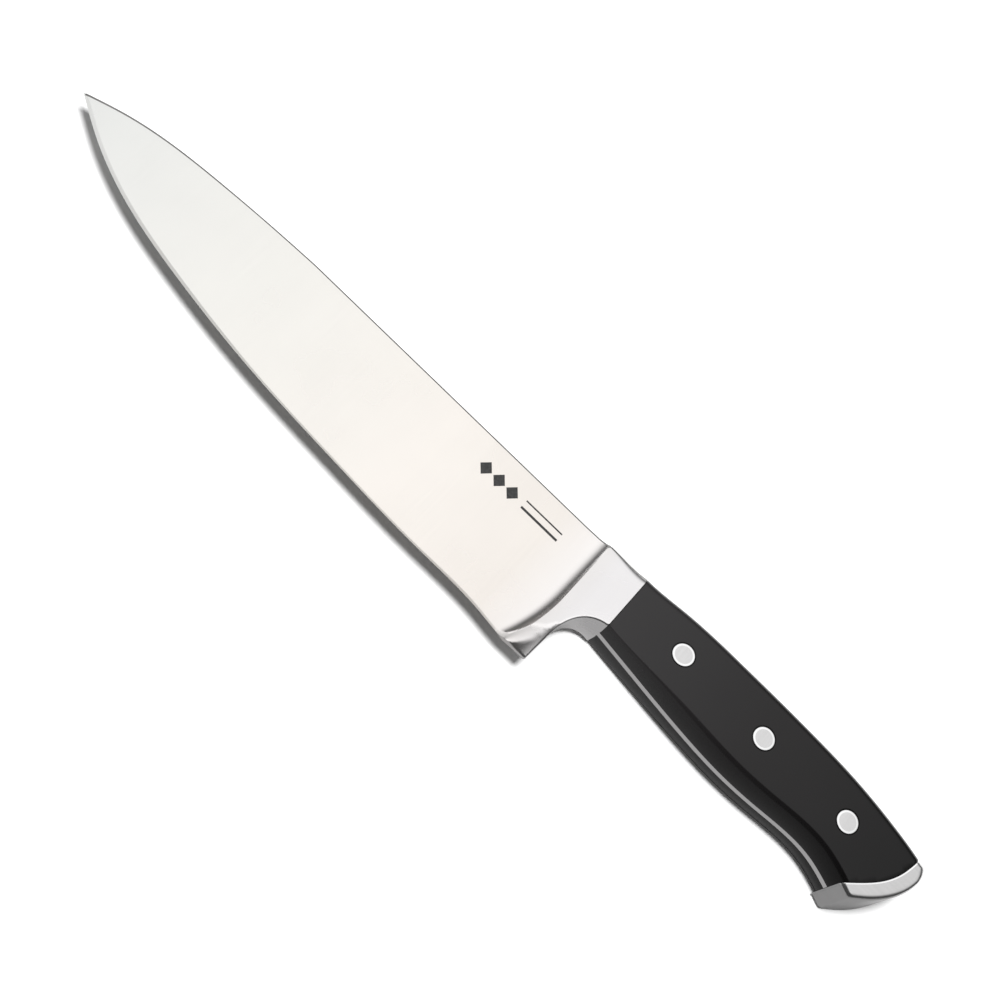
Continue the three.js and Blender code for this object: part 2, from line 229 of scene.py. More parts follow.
def even_steps(points, step):
    """The same polyline with points about one step apart."""
    points = np.asarray(points, float)
    lengths = np.hypot(*np.diff(points, axis=0).T)
    run = np.concatenate([[0], np.cumsum(lengths)])
    at = np.linspace(0, run[-1], max(2, int(round(run[-1] / step)) + 1))
    return np.column_stack([np.interp(at, run, points[:, k]) for k in (0, 1)])


def traced(line, start, end, step, fine=0.05):
    """The stretch of a line y(x) from x = start to x = end, as evenly spaced points."""
    x = np.linspace(start, end, int(abs(end - start) / fine) + 2)
    return even_steps(np.column_stack([x, line(x)]), step)


def distance(points, polyline):
    """The distance of each point to a polyline."""
    a, b = polyline[:-1], polyline[1:]
    along = b - a
    square = (along ** 2).sum(1)
    best = np.full(len(points), 1e9)
    for start in range(0, len(points), 2000):
        p = points[start:start + 2000, None]
        t = np.clip(((p - a) * along).sum(2) / square, 0, 1)
        gap = p - (a + t[..., None] * along)
        best[start:start + 2000] = np.sqrt((gap ** 2).sum(2)).min(1)
    return best


def inside(points, loop):
    """True for each point that lies within a closed loop."""
    a, b = loop, np.roll(loop, -1, axis=0)
    result = np.zeros(len(points), bool)
    for start in range(0, len(points), 2000):
        x, y = points[start:start + 2000].T
        crosses = (a[:, 1] > y[:, None]) != (b[:, 1] > y[:, None])
        rise = np.where(np.abs(b[:, 1] - a[:, 1]) < 1e-12, 1e-12, b[:, 1] - a[:, 1])
        at = a[:, 0] + (y[:, None] - a[:, 1]) * (b[:, 0] - a[:, 0]) / rise
        result[start:start + 2000] = (crosses & (x[:, None] < at)).sum(1) % 2 == 1
    return result


def beside(polyline, distances):
    """Rows of points at these distances to the left of a polyline."""
    along = np.gradient(polyline, axis=0)
    along /= np.hypot(*along.T)[:, None]
    normal = np.column_stack([-along[:, 1], along[:, 0]])
    return [polyline + normal * np.reshape(d, (-1, 1)) for d in distances]


def lattice(low, high, step):
    """A staggered lattice of points that fills a box."""
    rows = np.arange(low[1], high[1], step * 0.87)
    points = []
    for i, y in enumerate(rows):
        x = np.arange(low[0] + (i % 2) * step / 2, high[0], step)
        points.append(np.column_stack([x, np.full(len(x), y)]))
    return np.vstack(points)


def rounded(depth, radius):
    """How much a rounded edge has dropped at a depth in from its rim."""
    t = np.clip(np.asarray(depth, float) / radius, 0, 1)
    return radius * (1 - np.sqrt(1 - (1 - t) ** 2))


# ---- Meshes ----

def closed_relief(outline, inner, top, bottom, lines=(), holes=(), marks=()):
    """A closed solid over a flat outline. top and bottom give the heights of its two sides at given points.
    lines are kept as edges and holes are cut through. marks are (loop, slot, both sides or top only)."""
    loops = [outline, *holes, *(mark[0] for mark in marks)]
    points, edges = [], []
    for loop in loops:
        first = len(points)
        points.extend(loop)
        edges.extend((first + i, first + (i + 1) % len(loop)) for i in range(len(loop)))
    for line in lines:
        first = len(points)
        points.extend(line)
        edges.extend((first + i, first + i + 1) for i in range(len(line) - 1))
    inner = inner[inside(inner, outline)]
    for hole in holes:
        inner = inner[~inside(inner, hole)]
    points.extend(inner)
    flat, _, faces, *_ = delaunay_2d_cdt([Vector(p) for p in points], edges, [], 1, 1e-6)
    flat = np.array([tuple(p) for p in flat])
    faces = np.array([tuple(f) for f in faces])
    middle = flat[faces].mean(1)
    for hole in holes:
        keep = ~inside(middle, hole)
        faces, middle = faces[keep], middle[keep]
    a, b, c = flat[faces[:, 0]], flat[faces[:, 1]], flat[faces[:, 2]]
    area = (b[:, 0] - a[:, 0]) * (c[:, 1] - a[:, 1]) - (b[:, 1] - a[:, 1]) * (c[:, 0] - a[:, 0])
    faces[area < 0] = faces[area < 0][:, ::-1]
    used = np.unique(faces)
    place = np.full(len(flat), -1)
    place[used] = np.arange(len(used))
    flat, faces = flat[used], place[faces]
    count = len(flat)
    vertices = np.vstack([
        np.column_stack([flat, top(flat)]),
        np.column_stack([flat, bottom(flat)]),
    ])
    polygons = [tuple(f) for f in faces] + [tuple(f[::-1] + count) for f in faces]
    slots = [0] * (2 * len(faces))
    for loop, slot, both in marks:
        for i in np.nonzero(inside(middle, loop))[0]:
            slots[i] = slot
            if both:
                slots[i + len(faces)] = slot
    sides = {}
    for f in faces:
        for i in range(3):
            sides[(int(f[i]), int(f[(i + 1) % 3]))] = True
    rims = [(i, j) for i, j in sides if (j, i) not in sides]
    for i, j in rims:
        polygons.append((i + count, j + count, j, i))
        slots.append(0)
    return vertices, polygons, slots


def make_object(name, vertices, polygons, materials, slots=None, sharp=30):
    mesh = bpy.data.meshes.new(name)
    mesh.from_pydata(np.asarray(vertices) * MM + HEEL, [], [tuple(int(i) for i in p) for p in polygons])
    for material in materials:
        mesh.materials.append(material)
    if slots:
        mesh.polygons.foreach_set("material_index", slots)
    mesh.polygons.foreach_set("use_smooth", [True] * len(mesh.polygons))
    mesh.set_sharp_from_angle(angle=math.radians(sharp))
    mesh.validate()
    mesh.update()
    piece = bpy.data.objects.new(name, mesh)
    bpy.context.scene.collection.objects.link(piece)
    return piece


def mirrored(vertices, polygons):
    flipped = np.asarray(vertices) * (1, 1, -1)
    return flipped, [tuple(p)[::-1] for p in polygons]


def belongs(piece, slot, *nodes):
    """The piece rides on the knife and stands for these CAD nodes. Its slot is not used."""
    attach(piece, "root")
    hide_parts(*nodes)
    return piece


# ---- Materials ----

class Nodes:
    """A short way to write a material's nodes."""

    def __init__(self, name):
        self.material = bpy.data.materials.new(name)
        self.material.use_nodes = True
        self.tree = self.material.node_tree
        self.shader = self.tree.nodes["Principled BSDF"]

    def node(self, kind, inputs=(), **settings):
        made = self.tree.nodes.new(kind)
        for key, value in settings.items():
            setattr(made, key, value)
        for key, value in dict(inputs).items():
            if isinstance(value, bpy.types.NodeSocket):
                self.tree.links.new(value, made.inputs[key])
            else:
                made.inputs[key].default_value = value
        return made

    def set(self, **values):
        for key, value in values.items():
            socket = self.shader.inputs[key.replace("_", " ").title()]
            if isinstance(value, bpy.types.NodeSocket):
                self.tree.links.new(value, socket)
            else:
                socket.default_value = value

    def place(self, scale):
        """Object coordinates, stretched."""
        coordinates = self.node("ShaderNodeTexCoord").outputs["Object"]
        return self.node("ShaderNodeMapping", {"Vector": coordinates, "Scale": scale}).outputs["Vector"]

    def noise(self, scale, detail=3.0, stretch=(1, 1, 1), roughness=0.5):
        return self.node("ShaderNodeTexNoise", {
            "Vector": self.place(stretch), "Scale": scale, "Detail": detail, "Roughness": roughness,
        }).outputs["Fac"]

    def remap(self, value, low, high, start=0.3, end=0.7):
        return self.node("ShaderNodeMapRange", {
            "Value": value, "From Min": start, "From Max": end, "To Min": low, "To Max": high,
        }).outputs["Result"]

    def colours(self, value, *stops):
        ramp = self.node("ShaderNodeValToRGB", {"Fac": value})
        elements = ramp.color_ramp.elements
        for i, (place, colour) in enumerate(stops):
            element = elements[i] if i < 2 else elements.new(place)
            element.position, element.color = place, (*colour, 1)
        return ramp.outputs["Color"]

    def along(self, axis, *stops):
        """Colours along an axis of the heel frame, from (mm, colour) stops."""
        k = "XYZ".index(axis)
        place = self.node("ShaderNodeSeparateXYZ", {"Vector": self.place((1, 1, 1))}).outputs[axis]
        low, high = stops[0][0], stops[-1][0]
        share = self.remap(place, 0.0, 1.0, low * MM + HEEL[k], high * MM + HEEL[k])
        return self.colours(share, *[((at - low) / (high - low), colour) for at, colour in stops])

    def blend(self, kind, factor, a, b):
        """Two colours mixed in one of the ways of a Mix node."""
        made = self.tree.nodes.new("ShaderNodeMix")
        made.data_type, made.blend_type = "RGBA", kind
        sockets = [made.inputs[0], made.inputs[6], made.inputs[7]]
        for socket, value in zip(sockets, (factor, a, b)):
            if isinstance(value, bpy.types.NodeSocket):
                self.tree.links.new(value, socket)
            else:
                socket.default_value = value
        return made.outputs[2]

    def bump(self, height, strength, depth_mm):
        return self.node("ShaderNodeBump", {
            "Height": height, "Strength": strength, "Distance": depth_mm * MM,
        }).outputs["Normal"]


def ground_steel(name, colour, roughness, lines, stretch, grain=0.05, depth=0.97):
    """Stainless steel with the fine parallel lines of a belt grinder."""
    n = Nodes(name)
    grind = n.noise(lines, 4, stretch, 0.6)
    patches = n.noise(45, 3)
    shade = n.colours(grind, (0.3, (depth,) * 3), (0.72, (1, 1, 1)))
    if isinstance(colour, list):
        colour = n.along("X", *colour)
    n.set(
        base_color=n.blend("MULTIPLY", 1.0, colour, shade),
        metallic=1.0,
        roughness=n.remap(patches, roughness * 0.9, roughness * 1.1),
        normal=n.bump(grind, grain, 0.01),
    )
    return n.material


# The handle's plastic is painted greyer by the bolster and blacker at the butt, a painted falloff of the
# light along the handle, as (mm, colour) stops along the knife.
PLASTIC_PAINTED_FALLOFF = [
    (12, (0.018, 0.017, 0.0175)), (60, (0.008, 0.0073, 0.0075)), (120, (0.001, 0.0009, 0.0009)),
]
PLASTIC_SPECULAR = 0.29


def moulded_plastic(name):
    """Black moulded plastic, buffed to a fine satin, its colour painted lighter by the bolster as a painted
    falloff of light.
    """
    n = Nodes(name)
    grain = n.noise(2600, 2)
    cloud = n.noise(60, 4)
    n.set(
        base_color=n.along("X", *PLASTIC_PAINTED_FALLOFF),
        roughness=n.remap(cloud, 0.19, 0.24),
        normal=n.bump(grain, 0.06, 0.02),
    )
    n.shader.inputs["Specular IOR Level"].default_value = PLASTIC_SPECULAR
    return n.material


def etched_black():
    """The dark oxide of an etched mark."""
    n = Nodes("etched_black")
    grain = n.noise(1800, 2)
    n.set(
        base_color=n.colours(grain, (0.3, (0.02, 0.02, 0.02)), (0.7, (0.045, 0.045, 0.045))),
        roughness=0.6,
        normal=n.bump(grain, 0.2, 0.01),
    )
    return n.material


# The blade's steel is painted warmer in the middle of its length, greyer at the tip and paler by the bolster,
# a painted tint of the light it reflects, as (mm, colour) stops.
BLADE_PAINTED_REFLECTION = [
    (-204, (0.82, 0.828, 0.812)), (-124, (0.9, 0.885, 0.845)), (-61, (0.945, 0.9, 0.85)),
    (-20, (0.91, 0.86, 0.81)), (2, (0.975, 0.957, 0.962)),
]
BLADE_STEEL = ground_steel("blade_steel", BLADE_PAINTED_REFLECTION, 0.26, 900, (1, 0.02, 1), 0.02, 0.985)
# Dark steel for the spine's rounded edge: a painted dark reflection, with grinding lines across.
SPINE_PAINTED_REFLECTION = ground_steel("spine_painted_reflection", (0.27, 0.265, 0.26, 1), 0.35, 1400, (0.05, 1, 1), 0.1, 0.9)
CAP_STEEL = ground_steel("cap_steel", (0.705, 0.7, 0.7, 1), 0.26, 1400, (0.05, 1, 1), 0.1, 0.92)
RIVET_STEEL = ground_steel("rivet_steel", (0.785, 0.78, 0.78, 1), 0.3, 1600, (1, 0.05, 1), 0.1, 0.92)
# Bright steel for the rivets' rims and the cap's seam: a painted highlight.
PAINTED_HIGHLIGHT_STEEL = ground_steel("painted_highlight_rim", (0.97, 0.97, 0.97, 1), 0.2, 1600, (1, 1, 1), 0.02)
HANDLE_PLASTIC = moulded_plastic("handle_plastic")
ETCH = etched_black()


# ---- The forging ----

def blade_half(x, y):
    plane = EDGE_LAND + FACE_RISE * (y - 1) + FACE_TAPER * (x + 8)
    towards_tip = np.maximum(0, (TIP_GRIND_START - x) / (BLADE_LENGTH + TIP_GRIND_START))
    return plane * (1 - TIP_GRIND_SHARE * towards_tip ** TIP_GRIND_POWER)


def sagitta(length):
    return FILLET_RADIUS - np.sqrt(FILLET_RADIUS ** 2 - length ** 2)


def forged_half(x, y):
    """Half thickness of the blade, the hollow fillet, the bolster and the heel facet, with sharp edges."""
    border = border_x(y)
    reach = HEEL_REACH - REACH_AHEAD * np.maximum(-x, 0) - REACH_BEHIND * np.maximum(x, 0)
    facet = HEEL_HALF + y / np.maximum(reach, 0.15)
    along = np.clip((x - border) / (JUNCTION_X - border), 0, 1)
    bolster = mix(BOLSTER_FRONT, BOLSTER_REAR, along)
    into = np.clip(x - border + FILLET_WIDTH, 0, FILLET_WIDTH)
    climb = sagitta(into) / sagitta(FILLET_WIDTH)
    blade = blade_half(x, y) + (BOLSTER_FRONT - blade_half(border, y)) * climb
    return np.minimum(facet, np.where(x >= border, bolster, blade))


def handle_half(x):
    return mix(BOLSTER_REAR, HANDLE_HALF, smooth_step(JUNCTION_X, SWELL_END_X, x))


def belly_round(x):
    return BELLY_FRONT + BELLY_GROWTH * smooth_step(JUNCTION_X, BELLY_END_X, x)


def top_round(x):
    """The radius of the rounded edge along the spine, which grows to the handle's over the bolster."""
    return mix(SPINE_ROUND, TOP_ROUND, smooth_step(-8, JUNCTION_X, x))


def tang_rear(y):
    return scale_end(y) - CAP_FIT


def tang_belly(x):
    return belly_line(x) + TANG_INSET


def tang_top(x):
    return top_line(x) - TANG_INSET


def forging_outline():
    """The outline counter-clockwise from the tip: edge, heel, notch, belly, tang end, top, spine."""
    low = meet(tang_rear, tang_belly, REAR_LOW_X)
    high = meet(tang_rear, tang_top, REAR_HIGH_X)
    heel_flat = [(x, 0) for x in np.arange(-7.4, -HEEL_CORNER - 0.2, 0.4)]
    heel = [
        (-HEEL_CORNER * (1 - math.sin(a)), HEEL_CORNER * (1 - math.cos(a)))
        for a in np.linspace(0, math.pi / 2, 7)
    ]
    heel_back = [
        (NOTCH_FOOT[0] * t, mix(HEEL_CORNER, NOTCH_FOOT[1], t))
        for t in np.linspace(0, 1, 15)[1:-1]
    ]
    finger_notch = even_steps(notch(np.linspace(0, 1, 400)), 0.4)
    rear_y = np.linspace(low[1], high[1], 60)
    return {
        "edge": traced(edge_line, -BLADE_LENGTH, EDGE_END_X, 0.8),
        "heel": np.vstack([heel_flat, heel, heel_back, finger_notch]),
        "belly": traced(tang_belly, JUNCTION_X + 0.3, low[0], 1.0),
        "rear": np.column_stack([tang_rear(rear_y), rear_y])[1:-1],
        "top": traced(tang_top, high[0], JUNCTION_X + 0.3, 1.0),
        "spine": traced(top_line, JUNCTION_X, -BLADE_LENGTH, 0.8)[:-1],
    }


def forging_mesh():
    parts = forging_outline()
    outline = np.vstack(list(parts.values()))
    edge = parts["edge"]
    heel = np.vstack([edge[-1:], parts["heel"], [(JUNCTION_X + 3, NOTCH_TOP)]])
    spine = parts["spine"]

    def half(points):
        x, y = points.T
        base = forged_half(x, y)
        lip = mix(EDGE_HALF, HEEL_HALF, smooth_step(LIP_START, EDGE_END_X, x))
        base = np.minimum(base, lip + EDGE_SLOPE * distance(points, edge))
        size = np.minimum(top_round(x), 0.8 * np.maximum(base, 0.05))
        base = base - rounded(distance(points, spine), size)
        size = np.minimum(BOLSTER_ROUND * smooth_step(-8.5, -4, x), 0.6 * base) + 1e-6
        base = base - np.where(x > -8.5, rounded(distance(points, heel), size), 0)
        return np.where(x > JUNCTION_X + 0.005, TANG_HALF, np.maximum(base, EDGE_HALF))

    fillet_y = np.arange(0.4, BLADE_HEIGHT, 0.7)
    steps = [
        -FILLET_WIDTH, -4.1, -3.8, -3.5, -3.2, -2.9, -2.6, -2.3, -2, -1.7, -1.4, -1.15, -0.9, -0.7, -0.5,
        -0.35, -0.22, -0.12, -0.05, 0, 0.05, 0.15, 0.35, 0.7,
    ]
    fillet = np.vstack([np.column_stack([border_x(fillet_y) + s, fillet_y]) for s in steps])
    border = np.column_stack([border_x(fillet_y), fillet_y])
    rounding = [0.03, 0.08, 0.15, 0.25, 0.36, 0.5, 0.7, 1.0]
    near_heel = np.vstack(beside(heel, rounding))
    near_heel = near_heel[near_heel[:, 0] < JUNCTION_X - 0.02]
    spine_size = top_round(spine[:, 0])
    near_spine = np.vstack(beside(spine, [spine_size * (1 - math.cos(a)) for a in QUARTER]))
    near_edge = np.vstack(beside(edge, [0.2, 0.45, 0.7, 0.8, 0.9, 1.0, 1.3, 2.0]))
    bolster = lattice((-8, 0), (JUNCTION_X, 46), 0.9)
    bolster = bolster[(bolster[:, 0] > border_x(bolster[:, 1]) + 1.0) & (bolster[:, 0] < JUNCTION_X - 0.3)]
    bolster = bolster[(distance(bolster, heel) > 1.3) & (distance(bolster, spine) > TOP_ROUND + 0.3)]
    plate = lattice((-BLADE_LENGTH, 0), (-8, 46), 3.0)
    plate = plate[plate[:, 0] < border_x(plate[:, 1]) - FILLET_WIDTH - 1.5]
    plate = plate[(distance(plate, edge) > 2.8) & (distance(plate, spine) > 2.0)]
    tang = lattice((JUNCTION_X + 1, 12), (122, 46), 3.0)
    shoulder_y = np.arange(NOTCH_TOP + 0.8, 42, 0.8)
    shoulder = [np.column_stack([np.full(len(shoulder_y), JUNCTION_X + d), shoulder_y]) for d in (0, 0.01)]
    holes = [circle(centre, RIVET_BARREL + RIVET_GAP, 48) for centre in RIVETS]
    tang = tang[np.min([distance(tang, np.vstack([h, h[:1]])) for h in holes], axis=0) > 1]
    inner = np.vstack([fillet, near_heel, near_spine, near_edge, bolster, plate, tang, *shoulder])
    inner = inner[distance(inner, np.vstack([outline, outline[:1]])) > 0.015]
    return closed_relief(
        outline, inner, half, lambda p: -half(p),
        lines=[border, *shoulder], holes=holes, marks=[*ornament(), painted_spine_reflection(spine)],
    )


def circle(centre, radius, count):
    angles = np.linspace(0, 2 * math.pi, count, endpoint=False)
    return np.column_stack([centre[0] + radius * np.cos(angles), centre[1] + radius * np.sin(angles)])


def ornament():
    """A plain etched ornament: three diamonds and two rules."""
    marks = []
    for i in range(3):
        centre = np.array([-45.2 + 5.2 * i, 35.2])
        marks.append((centre + np.array([(-2.3, 0), (0, -2.6), (2.3, 0), (0, 2.6)]), 1, False))
    for low, high in ((36.4, 36.9), (33.6, 34.4)):
        marks.append((np.array([(-30.2, low), (-16, low), (-16, high), (-30.2, high)]), 1, False))
    return marks


def painted_spine_reflection(spine):
    """The spine's rounded edge, painted dark along its length: a painted dark reflection."""
    width = SPINE_REFLECTION_WIDTH * top_round(spine[:, 0]) ** 0.5
    return np.vstack([spine, beside(spine, [width])[0][::-1]]), 2, True


# ---- The scales ----

def scale_mesh():
    front = JUNCTION_X + SCALE_FIT
    low = meet(scale_end, belly_line, REAR_LOW_X)
    high = meet(scale_end, top_line, REAR_HIGH_X)
    belly = traced(belly_line, front, low[0], 0.5)
    rear_y = np.linspace(low[1], high[1], 200)
    rear = even_steps(np.column_stack([scale_end(rear_y), rear_y]), 0.4)
    top = traced(top_line, high[0], front, 0.5)
    front_y = np.linspace(top[-1, 1], belly[0, 1], 50)
    front_line = np.column_stack([np.full(50, front), front_y])
    outline = np.vstack([belly, rear[1:-1], top, front_line[1:-1]])
    seat = RIVET_HEAD + SEAT_GAP
    holes = [circle(centre, RIVET_BARREL + RIVET_GAP, 64) for centre in RIVETS]
    seats = [circle(centre, radius, 96) for centre in RIVETS for radius in (seat, seat - 0.01)]

    def half(points):
        x, y = points.T
        t = np.clip(distance(points, belly) / belly_round(x), 0, 1)
        z = mix(TANG_HALF, handle_half(x), np.sqrt(1 - (1 - t) ** 2))
        z = z - rounded(distance(points, top), TOP_ROUND)
        for end in (rear, front_line):
            z = z - rounded(distance(points, end), EDGE_BREAK)
        for centre in RIVETS:
            away = np.hypot(x - centre[0], y - centre[1]) - seat
            around_seat = z - rounded(np.maximum(away, 0), SEAT_BREAK)
            z = np.where(away > -0.005, around_seat, handle_half(centre[0]) - RIVET_DEPTH)
        return np.maximum(z, TANG_HALF + 0.02)

    near_belly = beside(belly, [belly_round(belly[:, 0]) * (1 - math.cos(a)) for a in QUARTER])
    near_top = beside(top, [TOP_ROUND * (1 - math.cos(a)) for a in QUARTER])
    breaks = [EDGE_BREAK * (1 - math.cos(a)) for a in QUARTER[2::3]]
    near_ends = [*beside(rear, breaks), *beside(front_line, breaks)]
    around = [circle(c, seat + d, 96) for c in RIVETS for d in (0.01, 0.04, 0.1, 0.17, 0.25, SEAT_BREAK, 0.5)]
    face = lattice((front, 12), (123, 46), 1.6)
    clear = distance(face, belly) > belly_round(face[:, 0]) + 0.6
    clear &= (distance(face, top) > TOP_ROUND + 0.6) & (distance(face, rear) > 0.8)
    for centre in RIVETS:
        clear &= np.hypot(*(face - centre).T) > RIVET_HEAD + 1.1
    inner = np.vstack([*near_belly, *near_top, *near_ends, *around, face[clear]])
    inner = inner[distance(inner, np.vstack([outline, outline[:1]])) > 0.008]
    return closed_relief(
        outline, inner, half, lambda p: np.full(len(p), TANG_HALF),
        lines=[np.vstack([ring, ring[:1]]) for ring in seats], holes=holes,
    )


# ---- The rivets ----

def turned(profile, centre, count=96):
    """A turned solid about z from a closed profile of (radius, z) whose ends lie on the axis."""
    angles = np.linspace(0, 2 * math.pi, count, endpoint=False)
    vertices = [(*centre, profile[0][1])]
    for radius, z in profile[1:-1]:
        for a in angles:
            vertices.append((centre[0] + radius * math.cos(a), centre[1] + radius * math.sin(a), z))
    vertices.append((*centre, profile[-1][1]))
    rings = len(profile) - 2
    polygons = [(0, 1 + (i + 1) % count, 1 + i) for i in range(count)]
    for ring in range(rings - 1):
        start = 1 + ring * count
        for i in range(count):
            j = (i + 1) % count
            polygons.append((start + i, start + j, start + count + j, start + count + i))
    last, start = len(vertices) - 1, 1 + (rings - 1) * count
    polygons.extend((last, start + i, start + (i + 1) % count) for i in range(count))
    return np.array(vertices), polygons


def rivet_piece(name, centre, shank_profile, side):
    """One half of a rivet, from its shank's foot to its head's face, at +Z or turned over to -Z."""
    face = float(handle_half(centre[0])) - HEAD_SUNK
    seat = face - RIVET_DEPTH
    shank = shank_profile[-1][0]
    rim = [
        (RIVET_HEAD - RIM_ROUND * (1 - math.cos(a)), face - RIM_ROUND * (1 - math.sin(a)))
        for a in np.linspace(0, math.pi / 2, 6)
    ]
    crown = [(RIVET_HEAD - RIM_WIDTH, face + RIM_RISE)]
    middle = [(RIVET_HEAD * share, face + RIM_RISE) for share in (0.5, 0.2)]
    profile = [*shank_profile, (shank, seat), (RIVET_HEAD, seat), *rim, *crown, *middle, (0, face + RIM_RISE)]
    vertices, polygons = turned(profile, centre)
    slope = (handle_half(centre[0] + 1) - handle_half(centre[0] - 1)) / 2
    on_face = vertices[:, 2] > face - RIM_ROUND - 0.01
    vertices[on_face, 2] += slope * (vertices[on_face, 0] - centre[0])
    across = np.hypot(*(vertices[:, :2] - centre).T)
    # Faces of the rim take the second material, a painted highlight round the head.
    slots = []
    for polygon in polygons:
        corners = list(polygon)
        on_rim = on_face[corners].all() and across[corners].max() > RIVET_HEAD - RIM_WIDTH + 0.01
        slots.append(int(on_rim))
    if side < 0:
        vertices, polygons = mirrored(vertices, polygons)
    return make_object(name, vertices, polygons, [RIVET_STEEL, PAINTED_HIGHLIGHT_STEEL], slots)


def pin_shank():
    foot, radius = -5, 1.5
    return [(0, foot), (radius - 0.25, foot), (radius, foot + 0.4)]


def barrel_shank():
    foot, bore, bottom = -5.5, 1.55, 6
    inside_bore = [(0, bottom), (bore - 0.15, bottom), (bore, bottom - 0.2), (bore, foot)]
    mouth = [(bore + 0.15, foot - 0.1), (RIVET_BARREL - 0.1, foot - 0.1), (RIVET_BARREL, foot)]
    return inside_bore + mouth


# ---- The butt cap ----

def cap_seam(y):
    return scale_end(y) + CAP_FIT


def butt_corner(t):
    """The rounded top corner of the butt, from the butt line (0) to the top line (1)."""
    t = np.reshape(t, (-1, 1))
    start = np.array([float(butt_line(CORNER_START_Y)), CORNER_START_Y])
    end = np.array([CORNER_END_X, float(top_line(CORNER_END_X))])
    return (1 - t) ** 2 * start + 2 * t * (1 - t) * np.array(CORNER_CONTROL) + t ** 2 * end


def cap_mesh():
    low = meet(cap_seam, belly_line, REAR_LOW_X)
    high = meet(cap_seam, top_line, REAR_HIGH_X)
    belly = traced(belly_line, low[0], BUTT_FOOT_X, 0.25)
    end_y = np.linspace(BUTT_FOOT_Y, CORNER_START_Y, 600)
    butt = np.column_stack([butt_line(end_y), end_y])
    corner = butt_corner(np.linspace(0, 1, 60))
    end = even_steps(np.vstack([butt, corner[1:]]), 0.3)
    top = traced(top_line, CORNER_END_X, high[0], 0.25)
    seam_y = np.linspace(high[1], low[1], 400)
    seam = even_steps(np.column_stack([cap_seam(seam_y), seam_y]), 0.3)
    outline = np.vstack([belly, end[1:-1], top, seam[1:-1]])
    butt_and_top = np.vstack([end, top[1:]])

    def butt_round(y):
        return mix(CAP_ROUND_END, TOP_ROUND, smooth_step(31, 37.5, y))

    def half(points):
        z = CAP_HALF - rounded(distance(points, belly), CAP_ROUND_BELLY)
        z = z - rounded(distance(points, butt_and_top), butt_round(points[:, 1]))
        return z - rounded(distance(points, seam), EDGE_BREAK)

    rows = 1 - np.cos(QUARTER)
    near = [
        *beside(belly, CAP_ROUND_BELLY * rows),
        *beside(butt_and_top, [butt_round(butt_and_top[:, 1]) * row for row in rows]),
        *beside(seam, [*(EDGE_BREAK * rows[2::3]), HIGHLIGHT_SEAM_WIDTH]),
    ]
    face = lattice((105, 11), (129, 40), 0.7)
    clear = (distance(face, belly) > CAP_ROUND_BELLY + 0.3) & (distance(face, seam) > HIGHLIGHT_SEAM_WIDTH + 0.2)
    clear &= distance(face, butt_and_top) > butt_round(face[:, 1]) + 0.3
    inner = np.vstack([*near, face[clear]])
    inner = inner[distance(inner, np.vstack([outline, outline[:1]])) > 0.008]
    # The band along the seam takes the second material, a painted highlight.
    painted_highlight = np.vstack([seam, beside(seam, [HIGHLIGHT_SEAM_WIDTH])[0][::-1]])
    return closed_relief(outline, inner, half, lambda p: -half(p), marks=[(painted_highlight, 1, True)])


# ---- Assembly ----

def build_knife():
    vertices, polygons, slots = forging_mesh()
    forging = make_object("forging", vertices, polygons, [BLADE_STEEL, ETCH, SPINE_PAINTED_REFLECTION], slots, 28)
    belongs(forging, "blade_steel", "forged_blade")
    vertices, polygons, _ = scale_mesh()
    right = make_object("right_scale", vertices, polygons, [HANDLE_PLASTIC])
    belongs(right, "handle_plastic", "scale_right")
    left = make_object("left_scale", *mirrored(vertices, polygons), [HANDLE_PLASTIC])
    belongs(left, "handle_plastic", "scale_left")
    vertices, polygons, slots = cap_mesh()
    cap = make_object("steel_cap", vertices, polygons, [CAP_STEEL, PAINTED_HIGHLIGHT_STEEL], slots)
    belongs(cap, "cap_steel", "butt_cap")
    for i, centre in enumerate(RIVETS, 1):
        pin = rivet_piece(f"rivet_{i}_pin", centre, pin_shank(), 1)
        belongs(pin, "rivet_steel", f"rivet_pin_{i}")
        barrel = rivet_piece(f"rivet_{i}_barrel", centre, barrel_shank(), -1)
        belongs(barrel, "rivet_steel", f"rivet_barrel_{i}")


# ---- The studio ----

CAMERA_TILT = math.radians(28.5)  # from straight above, towards the edge side
CAMERA_ROLL = math.radians(44)
CAMERA_DISTANCE = 560
CAMERA_TARGET = (-35.9, 31.3, 0)
CAMERA_LENS = 70.0

LAMP_PLACE = (-33, -85, 1250)  # in the heel frame, mm
LAMP_RADIUS = 185  # mm
LAMP_POWER = 84
FILL_LIGHT = 0.245
PANEL_LIGHT = 1.07
SURROUNDINGS = 0.06
# The panel's soft edges in the light's direction: axis, where it is dark, where it is fully lit.
PANEL_EDGES = [("X", 1.0, 0.1), ("Y", -0.22, 0.05), ("Z", 0.2, 0.86)]
FLOOR_SIZE = 4.0  # half its side, m
FLOOR_GAP = 0.1  # mm below the knife
FLOOR_SHADE_SPAN = (18, 48)  # the y, in mm, where the floor's painted shade in reflections turns from grey to white
FLOOR_WHITE = (0.9, 0.9, 0.9)
# the grey of the floor's painted shade, seen only in reflections
FLOOR_REFLECTED_SHADE = (0.24, 0.24, 0.24)


